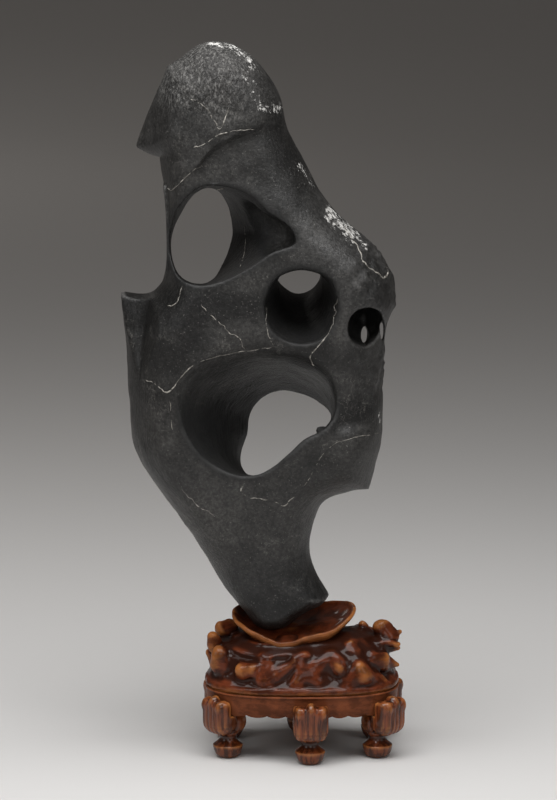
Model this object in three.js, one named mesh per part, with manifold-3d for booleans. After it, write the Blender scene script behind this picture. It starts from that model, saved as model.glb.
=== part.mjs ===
// Scholar's rock: a tall pierced stone standing in the seat of a carved wood stand.
// Millimetres, +Z up, the front faces -Y. The origin is on the floor, under the middle of the whole.
// Shapes are worked out from the stand's centre, and the finished group is moved by STAND_X.
import * as THREE from 'three';
import Module from 'manifold-3d';

const wasm = await Module();
wasm.setup();

// ---- Stand: driving dimensions ----
const STAND_X = 29.3; // of the stand's centre, because the stone leans out to the left
const HALF_WIDTH = 73; // of the apron's oval, along X
const HALF_DEPTH = 51; // of the apron's oval, along Y
const OVAL_POWER = 2.7; // 2 is an ellipse, more is squarer
const APRON_BOTTOM = 38;
const APRON_TOP = 53;
const APRON_WALL = 6;
const APRON_ROOF = 5;
const SCALLOP = 2.5; // how far the clouds of the lower edge hang down
const MOUND_TOP = 86;
const LEG_TOP = 49;
const BLOCK_BOTTOM = 20;
const BLOCK_HALF_WIDTH = 12.5;
const BLOCK_HALF_DEPTH = 8.5;
const FOOT_RADIUS = 11;
const NECK_RADIUS = 6.8;
const GAP = 0.35; // left between pieces that touch

// ---- Stone: driving dimensions ----
const EDGE_ROUND = 30; // how far in from the outline the stone reaches its full depth
const SOFTNESS = 18; // scales the swelling to about a distance
const GRID = 11.5; // size of the facets
const FINE_GRID = 3.4; // the same across the thin web
const WEB_FROM = -110;
const WEB_TO = -92;

// The stone's outline from the front, [x, z], one stroke from each corner to the next.
const STONE_STROKES = [
  // beak tip, up the head's left side to its corner
  [[-123.5, 458], [-110.5, 492], [-99, 518]],
  // crown, right shoulder, long slope, hip and flank, down to the spur
  [[-99, 518], [-88, 525], [-76, 534], [-58, 536], [-40, 528], [-24, 509], [-15, 493], [-11, 474],
    [-1, 451], [13, 426], [31, 405], [53, 387], [66, 367], [69.5, 344], [63, 325], [60.5, 300],
    [60, 245], [55.5, 223], [50.5, 201.5]],
  // the bite between spur and foot
  [[50.5, 201.5], [35, 199], [16, 190.5], [6.5, 166], [7, 143], [19.5, 119]],
  // the foot: its slanted lower edge, and the tip down in its socket
  [[19.5, 119], [14, 113], [2, 107], [-10, 101.5], [-19, 97], [-27, 91.5], [-35, 91.5], [-41, 101],
    [-43, 108]],
  // left side of the stem, up to the wing's tip
  [[-43, 108], [-57, 124], [-71, 149], [-92, 180], [-115, 211], [-126, 236], [-130.5, 275],
    [-135.5, 348]],
  // top of the wing, thin neck, up to the notch below the beak
  [[-135.5, 348], [-122, 347], [-111, 352], [-102, 367], [-99, 390], [-100, 418], [-105, 452]],
  [[-105, 452], [-113, 453.5], [-123.5, 458]],
];

// Holes worn through from front to back. Each runs from its front mouth to its throat and
// drops by `fall` for each millimetre of depth.
const HOLES = [
  { // upper left, open right through
    mouth: [[-62, 431], [-42, 425], [-26, 411], [-10, 397], [-8, 388], [-22, 379], [-40, 368], [-58, 357],
      [-75, 353], [-90, 361], [-96, 387], [-87, 417]],
    throat: [[-70, 430], [-87, 416], [-96, 389], [-90, 361], [-74, 354], [-61, 366], [-53, 393], [-57, 417]],
    from: -42, to: 30, fall: 0.13, blend: 12,
  },
  { // middle, climbing towards the back
    mouth: [[0, 366], [-18, 360], [-26, 340], [-20, 319], [-1, 311], [16, 319], [24, 338], [18, 359]],
    throat: [[-3, 392], [-18, 383], [-23, 370], [-16, 357], [-4, 350], [8, 354], [14, 366], [10, 383]],
    from: -40, to: 35, fall: 0.15, blend: 10,
  },
  { // lower, the largest
    mouth: [[-24, 304], [-48, 302], [-70, 292], [-85, 277], [-89, 258], [-85, 241], [-74, 225], [-60, 215],
      [-46, 211], [-30, 213], [-14, 224], [2, 238], [16, 246], [24, 259], [21, 280], [2, 297]],
    throat: [[-20, 276], [0, 275], [15, 267], [23, 256], [15, 244], [2, 232], [-16, 214], [-34, 208],
      [-46, 219], [-42, 241], [-37, 263]],
    from: -48, to: 32, fall: 0.19, blend: 11,
  },
];

// Rounded hollows: centre, half sizes along x, y and z, and how softly their rims turn.
const HOLLOWS = [
  { at: [48, -40, 329], size: [15, 40, 16], blend: 12 }, // blind hole at the right
  { at: [-19, -44, 395], size: [14, 26, 12], blend: 12 }, // deep corner of the upper hole's mouth
  { at: [-142, -34, 482], size: [36, 40, 52], blend: 8 }, // scooped left side of the head
  { at: [-131, -40, 305], size: [14, 46, 62], blend: 8 }, // groove behind the wing
  { at: [28, -66, 240], size: [40, 26, 15], blend: 12 }, // valley below the right panel
];

// ---- Small helpers ----
const clamp = THREE.MathUtils.clamp;
const lerp = THREE.MathUtils.lerp;

function smoothMin(a, b, blend) {
  const mix = Math.max(blend - Math.abs(a - b), 0) / blend;
  return Math.min(a, b) - (mix * mix * blend) / 4;
}

function hill(x, z, [cx, cz, sx, sz, height]) {
  return height * Math.exp(-(((x - cx) / sx) ** 2) - ((z - cz) / sz) ** 2);
}

function loopOfStrokes(strokes) {
  const loop = [];
  for (const stroke of strokes) {
    const curve = new THREE.SplineCurve(stroke.map(([x, z]) => new THREE.Vector2(x, z)));
    loop.push(...curve.getPoints(5 * (stroke.length - 1)).slice(0, -1));
  }
  return loop;
}

function roundLoop(points) {
  const knots = points.map(([x, z]) => new THREE.Vector3(x, z, 0));
  const curve = new THREE.CatmullRomCurve3(knots, true, 'catmullrom', 0.5);
  return curve.getPoints(5 * points.length).slice(0, -1);
}

// Distance from (x, z) to a closed loop, positive inside it.
function depthInside(loop, x, z) {
  let nearest = Infinity;
  let inside = false;
  loop.forEach((b, i) => {
    const a = loop[(i + loop.length - 1) % loop.length];
    const ex = b.x - a.x;
    const ez = b.y - a.y;
    const t = clamp(((x - a.x) * ex + (z - a.y) * ez) / (ex * ex + ez * ez), 0, 1);
    nearest = Math.min(nearest, Math.hypot(x - a.x - ex * t, z - a.y - ez * t));
    if (a.y > z !== b.y > z && x < a.x + (ex * (z - a.y)) / ez) inside = !inside;
  });
  return inside ? nearest : -nearest;
}

// ---- The stone, as a function that is positive inside it ----
const stoneLoop = loopOfStrokes(STONE_STROKES);
const holes = HOLES.map((hole) => ({
  ...hole,
  mouth: roundLoop(hole.mouth),
  throat: roundLoop(hole.throat),
}));

// Where the stone's edge lies between front and back: the wing and the beak sit further back.
function edgeLine(x, z) {
  return hill(x, z, [-134, 310, 26, 70, 16]) + hill(x, z, [-122, 470, 22, 40, 10]);
}

function frontDepth(x, z) {
  const stem = 30 + 20 * THREE.MathUtils.smoothstep(z, 90, 260);
  const head = -10 * THREE.MathUtils.smoothstep(z, 400, 520);
  return stem + head + hill(x, z, [35, 370, 30, 40, 6]) + hill(x, z, [-70, 310, 40, 40, 5]);
}

function backDepth(x, z) {
  const stem = 28 + 18 * THREE.MathUtils.smoothstep(z, 90, 280);
  return stem - 8 * THREE.MathUtils.smoothstep(z, 400, 520) + hill(x, z, [30, 300, 40, 60, 6]);
}

function body(x, y, z) {
  const edge = edgeLine(x, z);
  const reach = y < edge ? frontDepth(x, z) : backDepth(x, z);
  const s = Math.min(depthInside(stoneLoop, x, z) / EDGE_ROUND, 1);
  return SOFTNESS * (1 - (1 - s) ** 2 - ((y - edge) / reach) ** 2);
}

function insideHole(hole, x, y, z) {
  const level = z + hole.fall * y;
  const t = clamp((y - hole.from) / (hole.to - hole.from), 0, 1);
  const wall = lerp(depthInside(hole.mouth, x, level), depthInside(hole.throat, x, level), t);
  return wall + 0.15 * Math.max(y - hole.to, 0);
}

function insideHollow({ at, size }, x, y, z) {
  const r = Math.hypot((x - at[0]) / size[0], (y - at[1]) / size[1], (z - at[2]) / size[2]);
  return (1 - r) * Math.min(...size);
}

// The thin upright web between the upper hole and the open air.
function web(x, y, z) {
  const middle = -97.5;
  const half = 3.4 + 0.0006 * (z - 388) ** 2;
  const side = half - Math.abs(x - middle);
  const front = 20 - Math.abs(y + 2);
  const ends = 54 - Math.abs(z - 396);
  return Math.min(side, front, ends);
}

function stone(x, y, z) {
  let value = body(x, y, z);
  for (const hole of holes) value = smoothMin(value, -insideHole(hole, x, y, z), hole.blend);
  for (const hollow of HOLLOWS) value = smoothMin(value, -insideHollow(hollow, x, y, z), hollow.blend);
  return Math.max(value, web(x, y, z));
}

// ---- Facets from the function: one point in each cell for each sheet of surface in it ----
// Corner n of a cell is at (n & 1, n >> 1 & 1, n >> 2 & 1).
const CORNERS = [0, 1, 2, 3, 4, 5, 6, 7];
const CELL_EDGES = [0, 1, 2].flatMap((axis) => {
  const starts = CORNERS.filter((n) => !((n >> axis) & 1));
  return starts.map((n) => [n, n | (1 << axis)]);
});

function edgeBetween(a, b) {
  return CELL_EDGES.findIndex(([low, high]) => low === Math.min(a, b) && high === Math.max(a, b));
}

const CELL_FACES = [0, 1, 2].flatMap((axis) => [0, 1].map((side) => {
  const base = side << axis;
  const u = 1 << (axis + 1) % 3;
  const v = 1 << (axis + 2) % 3;
  return [base, base | u, base | u | v, base | v];
}));

// For each edge of a cell, the number of the sheet that crosses it, or -1. Where solid corners
// touch only across a face they belong to different sheets.
function sheetsOf(signs) {
  const sheet = CELL_EDGES.map(([a, b], n) => (((signs >> a) & 1) === ((signs >> b) & 1) ? -1 : n));
  const join = (a, b) => {
    const [keep, drop] = [sheet[a], sheet[b]];
    sheet.forEach((number, n) => {
      if (number === drop) sheet[n] = keep;
    });
  };
  for (const face of CELL_FACES) {
    const sides = face.map((corner, n) => edgeBetween(corner, face[(n + 1) % 4]));
    const crossed = sides.filter((side) => sheet[side] >= 0);
    if (crossed.length === 2) join(crossed[0], crossed[1]);
    if (crossed.length === 4) {
      face.forEach((corner, n) => {
        if ((signs >> corner) & 1) join(sides[n], sides[(n + 3) % 4]);
      });
    }
  }
  return sheet;
}

const SHEETS = Array.from({ length: 256 }, (_, signs) => sheetsOf(signs));

function ticks(from, to, fineFrom = 0, fineTo = 0) {
  const marks = [from];
  while (marks.at(-1) < to) {
    const at = marks.at(-1);
    marks.push(at + (at >= fineFrom && at < fineTo ? FINE_GRID : GRID));
  }
  return marks;
}

function slopeOf(field, p) {
  const e = 0.4;
  return new THREE.Vector3(
    field(p.x + e, p.y, p.z) - field(p.x - e, p.y, p.z),
    field(p.x, p.y + e, p.z) - field(p.x, p.y - e, p.z),
    field(p.x, p.y, p.z + e) - field(p.x, p.y, p.z - e),
  ).divideScalar(2 * e);
}

function settle(field, p, low, high) {
  for (let step = 0; step < 2; step += 1) {
    const slope = slopeOf(field, p);
    const move = -field(p.x, p.y, p.z) / Math.max(slope.lengthSq(), 0.05);
    p.addScaledVector(slope, clamp(move, -1.5, 1.5));
    p.clamp(low, high);
  }
  return p;
}

function facetsOf(field, xs, ys, zs) {
  const at = (i, j, k) => (i * ys.length + j) * zs.length + k;
  const values = new Float64Array(xs.length * ys.length * zs.length);
  xs.forEach((x, i) => ys.forEach((y, j) => zs.forEach((z, k) => {
    values[at(i, j, k)] = field(x, y, z);
  })));
  const points = [];
  const pointOf = new Map();
  const node = (cell, corner) => cell.map((index, axis) => index + ((corner >> axis) & 1));
  const place = ([i, j, k]) => new THREE.Vector3(xs[i], ys[j], zs[k]);
  const valueAt = (cell, corner) => values[at(...node(cell, corner))];

  function cellPoint(cell, edge) {
    const signs = CORNERS.reduce((bits, corner) => bits | ((valueAt(cell, corner) > 0) << corner), 0);
    const sheets = SHEETS[signs];
    const key = at(...cell) * 12 + sheets[edge];
    if (pointOf.has(key)) return pointOf.get(key);
    const crossings = CELL_EDGES.filter((_, n) => sheets[n] === sheets[edge]).map(([a, b]) => {
      const share = valueAt(cell, a) / (valueAt(cell, a) - valueAt(cell, b));
      return place(node(cell, a)).lerp(place(node(cell, b)), share);
    });
    const middle = new THREE.Vector3();
    for (const p of crossings) middle.addScaledVector(p, 1 / crossings.length);
    const low = place(node(cell, 0)).lerp(place(node(cell, 7)), 0.04);
    const high = place(node(cell, 0)).lerp(place(node(cell, 7)), 0.96);
    points.push(settle(field, middle, low, high));
    pointOf.set(key, points.length - 1);
    return points.length - 1;
  }

  const faces = [];
  const addQuad = (i, j, k, axis, solidBelow) => {
    const uAxis = (axis + 1) % 3;
    const vAxis = (axis + 2) % 3;
    const ring = [[1, 1], [0, 1], [0, 0], [1, 0]].map(([u, v]) => {
      const cell = [i, j, k];
      cell[uAxis] -= u;
      cell[vAxis] -= v;
      const corner = (u << uAxis) | (v << vAxis);
      return cellPoint(cell, edgeBetween(corner, corner | (1 << axis)));
    });
    if (!solidBelow) ring.reverse();
    const [a, b, c, d] = ring;
    const acrossAC = points[a].distanceTo(points[c]) < points[b].distanceTo(points[d]);
    faces.push(...(acrossAC ? [a, b, c, a, c, d] : [a, b, d, b, c, d]));
  };
  for (let i = 1; i < xs.length - 1; i += 1) {
    for (let j = 1; j < ys.length - 1; j += 1) {
      for (let k = 1; k < zs.length - 1; k += 1) {
        const here = values[at(i, j, k)] > 0;
        if (values[at(i + 1, j, k)] > 0 !== here) addQuad(i, j, k, 0, here);
        if (values[at(i, j + 1, k)] > 0 !== here) addQuad(i, j, k, 1, here);
        if (values[at(i, j, k + 1)] > 0 !== here) addQuad(i, j, k, 2, here);
      }
    }
  }
  return { points, faces };
}

// ---- Solids: joining, cutting, and from facets to geometry and back ----
function solidOf({ points, faces }) {
  const mesh = new wasm.Mesh({
    numProp: 3,
    vertProperties: new Float32Array(points.flatMap((p) => [p.x, p.y, p.z])),
    triVerts: new Uint32Array(faces),
  });
  return new wasm.Manifold(mesh);
}

function geometryOf(solid) {
  const { vertProperties, triVerts, numProp } = solid.getMesh();
  const geometry = new THREE.BufferGeometry();
  const positions = [];
  for (let i = 0; i < vertProperties.length; i += numProp) positions.push(...vertProperties.slice(i, i + 3));
  geometry.setAttribute('position', new THREE.Float32BufferAttribute(positions, 3));
  geometry.setIndex([...triVerts]);
  geometry.computeVertexNormals();
  return geometry;
}

// A closed body of rings around an upright axis. ringPoint(row, angle) gives a Vector3, and
// the first and last rows shrink to one point. Rows run from the bottom to the top.
function ringBody(rows, columns, ringPoint) {
  const points = [ringPoint(0, 0)];
  for (let row = 1; row < rows - 1; row += 1) {
    for (let c = 0; c < columns; c += 1) points.push(ringPoint(row, (c / columns) * 2 * Math.PI));
  }
  points.push(ringPoint(rows - 1, 0));
  const id = (row, c) => 1 + (row - 1) * columns + (c % columns);
  const top = points.length - 1;
  const faces = [];
  for (let c = 0; c < columns; c += 1) {
    faces.push(0, id(1, c + 1), id(1, c));
    for (let row = 1; row < rows - 2; row += 1) {
      faces.push(id(row, c), id(row, c + 1), id(row + 1, c + 1));
      faces.push(id(row, c), id(row + 1, c + 1), id(row + 1, c));
    }
    faces.push(top, id(rows - 2, c), id(rows - 2, c + 1));
  }
  return { points, faces };
}

// Distance from the centre to a rounded oval's edge, along an angle.
function ovalReach(angle, halfX, halfY, power) {
  const across = Math.abs(Math.cos(angle) / halfX) ** power + Math.abs(Math.sin(angle) / halfY) ** power;
  return across ** (-1 / power);
}

// ---- Stand ----
// Profiles are [share of the oval's reach, height].
const MOUND_PROFILE = [
  [0, APRON_TOP + GAP], [0.99, APRON_TOP + GAP], [1, APRON_TOP + 3], [0.95, APRON_TOP + 5.5], [0.93, 64],
  [0.96, 71], [0.92, 79], [0.8, MOUND_TOP - 1], [0.5, MOUND_TOP], [0, MOUND_TOP],
];

// Knobs stand out round the side of the mound: [angle in degrees, height, size, how far out].
const KNOBS = [
  [-170, 86, 11, 7], [-150, 72, 12, 5], [-120, 68, 11, 5], [-96, 69, 10, 4], [-75, 66, 10, 5],
  [-55, 74, 12, 5], [-36, 62, 13, 5], [-20, 80, 13, 6], [3, 90, 13, 5], [40, 74, 14, 5],
  [75, 70, 13, 5], [110, 74, 14, 5], [145, 72, 13, 5],
];

function moundBody() {
  const last = MOUND_PROFILE.length - 1;
  return ringBody(last + 1, 36, (row, angle) => {
    const [share, z] = MOUND_PROFILE[row];
    let reach = share * ovalReach(angle, HALF_WIDTH, HALF_DEPTH, OVAL_POWER);
    let height = z;
    if (row > 3 && row < 8) {
      for (const [degrees, level, size, out] of KNOBS) {
        const away = angle - THREE.MathUtils.degToRad(degrees);
        const turn = Math.atan2(Math.sin(away), Math.cos(away));
        const near = Math.exp(-((turn * 60 / size) ** 2) - ((z - level) / size) ** 2);
        reach += (row < 7 ? out : 0) * near;
        height += row === 7 ? (level > 78 ? 12 : 2) * near : 0;
      }
    }
    return new THREE.Vector3(reach * Math.cos(angle), reach * Math.sin(angle), height);
  });
}

// Rounded knobs that rise from the mound's shoulder: centre and half sizes.
const TOP_KNOBS = [
  [[50, -6, 90], [8, 10, 13]],
  [[63, -4, 88], [10, 13, 14]],
  [[66, -8, 66], [9, 12, 8]],
  [[-62, -8, 84], [9, 12, 10]],
  [[-60, 18, 82], [10, 12, 12]],
  [[44, 26, 86], [12, 10, 12]],
];

function knobSolid([centre, half]) {
  return solidOf(ringBody(7, 10, (row, angle) => {
    const tilt = (row / 6 - 0.5) * Math.PI;
    const reach = Math.cos(tilt);
    return new THREE.Vector3(
      centre[0] + half[0] * reach * Math.cos(angle),
      centre[1] + half[1] * reach * Math.sin(angle),
      centre[2] + half[2] * Math.sin(tilt),
    );
  }));
}

function moundSolid(stoneRoom) {
  let solid = solidOf(moundBody()).add(solidOf(seatBody()));
  for (const knob of TOP_KNOBS) solid = solid.add(knobSolid(knob));
  return solid.subtract(stoneRoom);
}

// The dished seat: a leaf-shaped pad with a wavy lip, low in front, high at both ends and behind.
const SEAT_CENTRE = [-6, -2];
const SEAT_HALF = [46, 31];

function lipHeight(angle) {
  const fromFold = Math.atan2(Math.sin(angle + 1.25), Math.cos(angle + 1.25)) / 0.38;
  const tilt = (Math.sin(angle) < 0 ? 10.5 : 6) * Math.sin(angle + 0.25 * Math.cos(angle) ** 2);
  return 98 + 9.5 * Math.cos(angle) ** 2 + tilt + 4.5 * Math.exp(-fromFold * fromFold);
}

// [share of the lip's reach, drop below the lip, share of the lip's waviness kept]
const SEAT_PROFILE = [
  [0, 26, 0], [0.5, 24, 0], [0.7, 14, 0.5], [0.98, 3, 1], [1, 0, 1], [0.93, 1.5, 1], [0.6, 3.2, 0.6], [0, 2.6, 0],
];

function seatBody() {
  return ringBody(SEAT_PROFILE.length, 30, (row, angle) => {
    const [share, drop, wave] = SEAT_PROFILE[row];
    const reach = share * ovalReach(angle, SEAT_HALF[0], SEAT_HALF[1], 2.1);
    const z = lerp(97, lipHeight(angle), wave) - drop;
    const [x, y] = SEAT_CENTRE;
    return new THREE.Vector3(x + reach * Math.cos(angle), y + reach * Math.sin(angle), z);
  });
}

// The apron: a low oval box, open underneath, its lower edge cut in clouds. `grow` thickens it
// on every side, to cut room for it in the legs.
function cloudEdge(angle) {
  return APRON_BOTTOM - SCALLOP * Math.abs(Math.sin(6 * angle)) ** 0.7;
}

function apronBody(grow) {
  const roofUnder = APRON_TOP - APRON_ROOF;
  const rows = [
    [0, () => roofUnder - grow, 0],
    [1, () => roofUnder - grow, -APRON_WALL - grow],
    [1, (angle) => cloudEdge(angle) - grow, -APRON_WALL - grow],
    [1, (angle) => cloudEdge(angle) - grow, -0.6 + grow],
    [1, () => APRON_TOP - 3.4, grow],
    [1, () => APRON_TOP - 1.6, 0.9 + grow],
    [1, () => APRON_TOP + grow, grow],
    [0, () => APRON_TOP + grow, 0],
  ];
  return ringBody(rows.length, 60, (row, angle) => {
    const [share, heightAt, out] = rows[row];
    const reach = share * (ovalReach(angle, HALF_WIDTH, HALF_DEPTH, OVAL_POWER) + out);
    return new THREE.Vector3(reach * Math.cos(angle), reach * Math.sin(angle), heightAt(angle));
  });
}

// Each leg: where its foot stands, which way it faces, and how far its block leans out.
const LEGS = [
  { name: 'leg_front_left', foot: [-56, -27], facing: -142, lean: 8 },
  { name: 'leg_front_centre', foot: [6, -46], facing: -88, lean: 8 },
  { name: 'leg_front_right', foot: [57, -27], facing: -38, lean: 10 },
  { name: 'leg_back_left', foot: [-56, 27], facing: 142, lean: 8 },
  { name: 'leg_back_centre', foot: [0, 46], facing: 90, lean: 8 },
  { name: 'leg_back_right', foot: [57, 27], facing: 38, lean: 10 },
];

// Fluted block: [share of its half sizes, height]
const BLOCK_PROFILE = [
  [0, BLOCK_BOTTOM], [0.55, BLOCK_BOTTOM], [0.92, BLOCK_BOTTOM + 5], [1, BLOCK_BOTTOM + 14],
  [0.97, LEG_TOP - 5], [0.7, LEG_TOP], [0, LEG_TOP - 1],
];

function blockBody(lean) {
  return ringBody(BLOCK_PROFILE.length, 14, (row, angle) => {
    const [share, z] = BLOCK_PROFILE[row];
    const flute = 1 - 0.04 * Math.abs(Math.sin(3.5 * angle));
    const reach = share * flute * ovalReach(angle, BLOCK_HALF_DEPTH, BLOCK_HALF_WIDTH, 3);
    return new THREE.Vector3(lean + reach * Math.cos(angle), reach * Math.sin(angle), z);
  });
}

function footBody() {
  const profile = [
    [0, 0], [6.5, 0], [FOOT_RADIUS - 1.5, 4], [FOOT_RADIUS, 9], [FOOT_RADIUS - 1, 10.5], [NECK_RADIUS, 13],
    [NECK_RADIUS, 17], [NECK_RADIUS + 1.5, 25], [NECK_RADIUS + 1, 34], [0, 34],
  ];
  return ringBody(profile.length, 12, (row, angle) => {
    const [radius, z] = profile[row];
    return new THREE.Vector3(radius * Math.cos(angle), radius * Math.sin(angle), z);
  });
}

function legSolid({ foot, facing, lean }, apronRoom) {
  const turn = (facing * Math.PI) / 180;
  const place = ({ points, faces }) => ({
    points: points.map((p) => p.clone().applyAxisAngle(new THREE.Vector3(0, 0, 1), turn)
      .add(new THREE.Vector3(foot[0], foot[1], 0))),
    faces,
  });
  return solidOf(place(footBody())).add(solidOf(place(blockBody(lean)))).subtract(apronRoom);
}

// ---- Build ----
const stoneFacets = facetsOf(
  stone,
  ticks(-160, 84, WEB_FROM, WEB_TO),
  ticks(-74, 74),
  ticks(62, 552),
);

// The stone's foot a little larger all round, which cuts the socket that it stands in.
function grownStone({ points, faces }) {
  const grow = (p) => p.clone().addScaledVector(slopeOf(stone, p).normalize(), -GAP - 0.1);
  return { points: points.map(grow), faces };
}

const woodMaterial = new THREE.MeshStandardMaterial({ color: 0x5a2a14, roughness: 0.32, metalness: 0 });
const stoneMaterial = new THREE.MeshStandardMaterial({ color: 0x2b2b2c, roughness: 0.5, metalness: 0 });

const object = new THREE.Group();

function addPiece(name, solid, material) {
  const mesh = new THREE.Mesh(geometryOf(solid), material);
  mesh.name = name;
  object.add(mesh);
}

addPiece('rock', solidOf(stoneFacets), stoneMaterial);
addPiece('mound', moundSolid(solidOf(grownStone(stoneFacets))), woodMaterial);
addPiece('apron', solidOf(apronBody(0)), woodMaterial);
const apronRoom = solidOf(apronBody(GAP));
for (const leg of LEGS) addPiece(leg.name, legSolid(leg, apronRoom), woodMaterial);
object.position.set(STAND_X, 0, 0);

export default object;
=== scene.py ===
import math

import bpy
import numpy as np
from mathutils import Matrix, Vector


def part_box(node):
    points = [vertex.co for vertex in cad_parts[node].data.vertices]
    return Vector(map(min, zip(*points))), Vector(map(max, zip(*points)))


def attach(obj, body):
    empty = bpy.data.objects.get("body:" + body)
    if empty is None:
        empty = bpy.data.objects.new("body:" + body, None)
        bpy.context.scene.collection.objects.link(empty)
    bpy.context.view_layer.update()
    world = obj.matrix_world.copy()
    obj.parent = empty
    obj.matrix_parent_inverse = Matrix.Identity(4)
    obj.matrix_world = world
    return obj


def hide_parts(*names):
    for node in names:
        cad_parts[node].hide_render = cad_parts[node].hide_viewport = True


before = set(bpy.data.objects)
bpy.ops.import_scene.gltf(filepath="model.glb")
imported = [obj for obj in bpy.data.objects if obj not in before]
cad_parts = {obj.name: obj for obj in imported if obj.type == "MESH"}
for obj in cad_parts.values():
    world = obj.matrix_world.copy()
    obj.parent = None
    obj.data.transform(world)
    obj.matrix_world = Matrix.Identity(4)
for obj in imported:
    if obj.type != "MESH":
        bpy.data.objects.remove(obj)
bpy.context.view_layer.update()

# A scholar's rock: a tall, dark, pierced stone standing in the dished seat of a low carved
# wood stand. The front faces -Y and the floor is z = 0. Shapes are worked out in millimetres
# and become metres only when a mesh is made.
MM = 0.001

# ---- Stand sizes, as in the solid part. Shapes are worked out from the stand's centre ----
STAND_X = float(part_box("apron")[0][0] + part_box("apron")[1][0]) / 2 / MM
HALF_WIDTH, HALF_DEPTH, OVAL_POWER = 73.0, 51.0, 2.7
APRON_BOTTOM, APRON_TOP = 38.0, 53.0
LEDGE = APRON_TOP + 0.4
BLOCK_BOTTOM, LEG_TOP = 20.0, 49.0

# ---- The stone's outline from the front, (x, z), one stroke from each corner to the next ----
STONE_STROKES = [
    # beak tip, up the head's left side to its corner
    [(-123.5, 458), (-110.5, 492), (-99, 518)],
    # crown, right shoulder, long slope, hip and flank, down to the spur
    [(-99, 518), (-88, 525), (-76, 534), (-58, 536), (-40, 528), (-24, 509), (-15, 493), (-11, 474),
     (-1, 451), (13, 426), (31, 405), (53, 387), (66, 367), (69.5, 344), (63, 325), (60.5, 300),
     (60, 245), (55.5, 223), (50.5, 201.5)],
    # the bite between spur and foot
    [(50.5, 201.5), (35, 199), (16, 190.5), (6.5, 166), (7, 143), (19.5, 119)],
    # the foot: its slanted lower edge and its tip, set in the seat
    [(19.5, 119), (14, 113.5), (5, 109), (-4, 103), (-10, 98), (-16, 95), (-27, 94), (-35, 97.5),
     (-43, 108)],
    # left side of the stem, up to the wing's tip
    [(-43, 108), (-57, 124), (-71, 149), (-92, 180), (-115, 211), (-126, 236), (-130.5, 275), (-135.5, 348)],
    # top of the wing, thin neck, up to the notch below the beak
    [(-135.5, 348), (-122, 346.5), (-111, 350), (-103, 363), (-100.5, 388), (-101, 418), (-105, 452)],
    [(-105, 452), (-113, 453.5), (-123.5, 458)],
]

# Holes worn right through. Each goes from its front mouth to its throat further back, and drops
# by `fall` for each millimetre of depth. `soft` is how softly the rim turns: at the bottom, at the
# top, and the two heights between which it changes.
HOLES = [
    dict(mouth=[(-98, 388), (-95, 407), (-87, 419), (-76, 427), (-62, 429), (-48, 427), (-36, 421),
                (-26, 411), (-14, 402), (-7, 394), (-6, 387), (-11, 384), (-23, 380), (-40, 369),
                (-58, 360), (-75, 356), (-89, 361), (-96, 373)],
         throat=[(-70, 430), (-87, 417), (-98, 389), (-93, 363), (-74, 356), (-61, 368), (-53, 393),
                 (-57, 417)],
         start=-42, end=30, fall=0.13, soft=(2, 2, 366, 396)),
    dict(mouth=[(0, 367), (-18, 360), (-27, 340), (-20, 320), (-1, 312), (17, 319), (25, 338), (19, 359)],
         throat=[(-3, 392), (-18, 383), (-23, 370), (-16, 357), (-4, 350), (8, 354), (14, 366), (10, 383)],
         start=-40, end=35, fall=0.15, soft=(4, 4, 300, 360)),
    dict(mouth=[(-24, 304), (-48, 302), (-70, 292), (-85, 277), (-89, 258), (-85, 241), (-74, 225),
                (-60, 215), (-46, 211), (-30, 213), (-14, 224), (2, 238), (16, 246), (24, 259),
                (21, 280), (2, 297)],
         throat=[(-20, 276), (0, 275), (15, 267), (23, 256), (15, 244), (2, 232), (-16, 214), (-34, 208),
                 (-46, 219), (-42, 241), (-37, 263)],
         start=-48, end=32, fall=0.19, soft=(2, 13, 262, 292)),
]
# How far in from the outline the stone's edges are rounded, there and at its foot
EDGE_ROUND, FOOT_ROUND = 30.0, 13.0
# The stone's field is this many millimetres at its middle
SOFTNESS = 18.0


# ---- Curves and small shapes ----
def spline(knots, closed=False, per_span=6):
    """A Catmull-Rom curve through the knots: each span is a cubic whose slope at a knot is half
    the way between the knot's neighbours."""
    knots = np.array(knots, float)
    n = len(knots)
    spans = n if closed else n - 1
    at = np.arange(spans * per_span) / per_span
    first = at.astype(int)
    t = (at - first)[:, None]

    def knot(index):
        return knots[index % n if closed else np.clip(index, 0, n - 1)]
    a, b, c, d = (knot(first + k) for k in (-1, 0, 1, 2))
    slope_b, slope_c = (c - a) / 2, (d - b) / 2
    points = ((2 * b - 2 * c + slope_b + slope_c) * t ** 3
              + (-3 * b + 3 * c - 2 * slope_b - slope_c) * t ** 2 + slope_b * t + b)
    return points if closed else np.vstack([points, knots[-1]])


def depth_inside(loop, x, z):
    """Distance from each (x, z) to the nearest side of a closed loop, positive inside it."""
    a = loop
    side = np.roll(loop, -1, axis=0) - a
    dx, dz = x[:, None] - a[:, 0], z[:, None] - a[:, 1]
    t = np.clip((dx * side[:, 0] + dz * side[:, 1]) / (side ** 2).sum(1), 0, 1)
    away = np.hypot(dx - t * side[:, 0], dz - t * side[:, 1]).min(1)
    above = a[:, 1] > z[:, None]
    crosses = above != np.roll(above, -1, axis=1)
    height = np.where(side[:, 1] == 0, 1e-9, side[:, 1])
    left = dx < side[:, 0] * dz / height
    inside = (crosses & left).sum(1) % 2 == 1
    return np.where(inside, away, -away)


# The corners of the stone's charts, (x, z)
CHART_LOW, CHART_HIGH = (-175.0, 45.0), (100.0, 575.0)


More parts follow.
